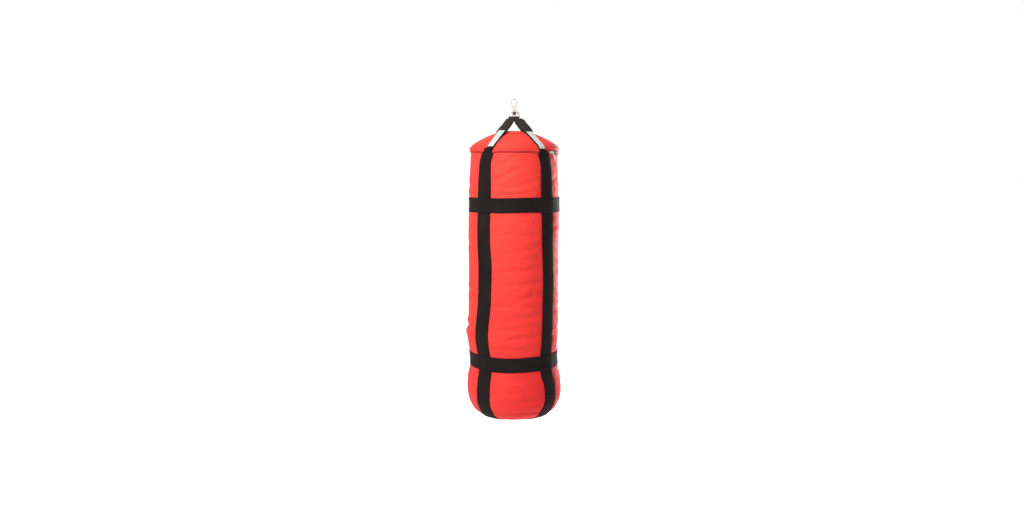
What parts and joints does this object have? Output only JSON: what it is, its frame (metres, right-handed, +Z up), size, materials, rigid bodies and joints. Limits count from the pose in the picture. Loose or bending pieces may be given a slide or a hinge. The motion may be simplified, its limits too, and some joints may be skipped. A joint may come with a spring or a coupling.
{
  "type": "punching bag",
  "caption": "Hanging textile-filled punching bag: domed zip lid, webbing straps and bands, ring, swivel snap hook.",
  "frame": {"origin": "the hang point: where the support bears, inside the crown of the snap hook", "axes": "+Z up along the bag's axis; the front of the bag faces -Y; +X to the viewer's right"},
  "size_m": [0.337, 0.337, 1.16],
  "materials": {
    "red_fabric": "coated woven nylon, satin",
    "black_webbing": "woven webbing, matt",
    "zip_nylon": "dark red zip coil",
    "white_patch": "smooth coated patch",
    "steel": "bright zinc plate",
    "dark_steel": "black oxide",
    "zip_metal": "pale plated zip metal",
    "foam": "closed-cell foam",
    "rag_fill": "shredded textile fill"
  },
  "bodies": {
    "hook": {"hook_frame": "steel", "gate_pin": "steel", "gate_spring": "steel", "swivel_rivet": "steel", "swivel_washer": "steel"},
    "gate": {"hook_gate": "steel"},
    "swivel": {"swivel_jaw": "steel", "clevis_bolt": "dark_steel", "clevis_nut": "dark_steel"},
    "ring": {"hang_ring": "steel"},
    "bag": {"cover_tube": "red_fabric", "lid_panel": "red_fabric", "base_panel": "red_fabric", "rim_welt": "red_fabric", "foam_liner": "foam", "fill_core": "rag_fill", "base_pad": "foam", "body_strap_left": "black_webbing", "body_strap_right": "black_webbing", "band_upper": "black_webbing", "band_lower": "black_webbing", "hanger_left": "black_webbing", "hanger_right": "black_webbing", "wear_sleeve_left": "black_webbing", "wear_sleeve_right": "black_webbing", "patch_front_left": "white_patch", "patch_front_right": "white_patch", "patch_back_left": "white_patch", "patch_back_right": "white_patch", "zip_tape": "red_fabric", "zip_coil": "zip_nylon", "zip_stop_front": "zip_metal", "zip_stop_back": "zip_metal"},
    "slider": {"zip_slider": "zip_metal"},
    "pull": {"zip_pull": "zip_metal"}
  },
  "joints": [
    {"name": "gate_open", "type": "hinge", "parent": "hook", "child": "gate", "pos_m": [0.008, 0, -0.0175], "axis": [0, -1, 0], "range_deg": [0, 28], "stiffness_Nm_per_rad": 0.02, "springref_deg": -28.65},
    {"name": "swivel_turn", "type": "hinge", "parent": "hook", "child": "swivel", "pos_m": [0, 0, -0.0275], "axis": [0, 0, 1], "continuous": true},
    {"name": "ring_swing", "type": "hinge", "parent": "swivel", "child": "ring", "pos_m": [0, 0, -0.048], "axis": [0, 1, 0], "range_deg": [-40, 40]},
    {"name": "bag_swing", "type": "hinge", "parent": "ring", "child": "bag", "pos_m": [0, 0, -0.066], "axis": [1, 0, 0], "range_deg": [-35, 35]},
    {"name": "zip_slide", "type": "hinge", "parent": "bag", "child": "slider", "pos_m": [0, 0, -0.1865], "axis": [0, 0, 1], "range_deg": [0, 71]},
    {"name": "pull_swing", "type": "hinge", "parent": "slider", "child": "pull", "pos_m": [0.13255, -0.09539, -0.1865], "axis": [-0.5841, -0.8117, 0], "range_deg": [0, 150]}
  ]
}
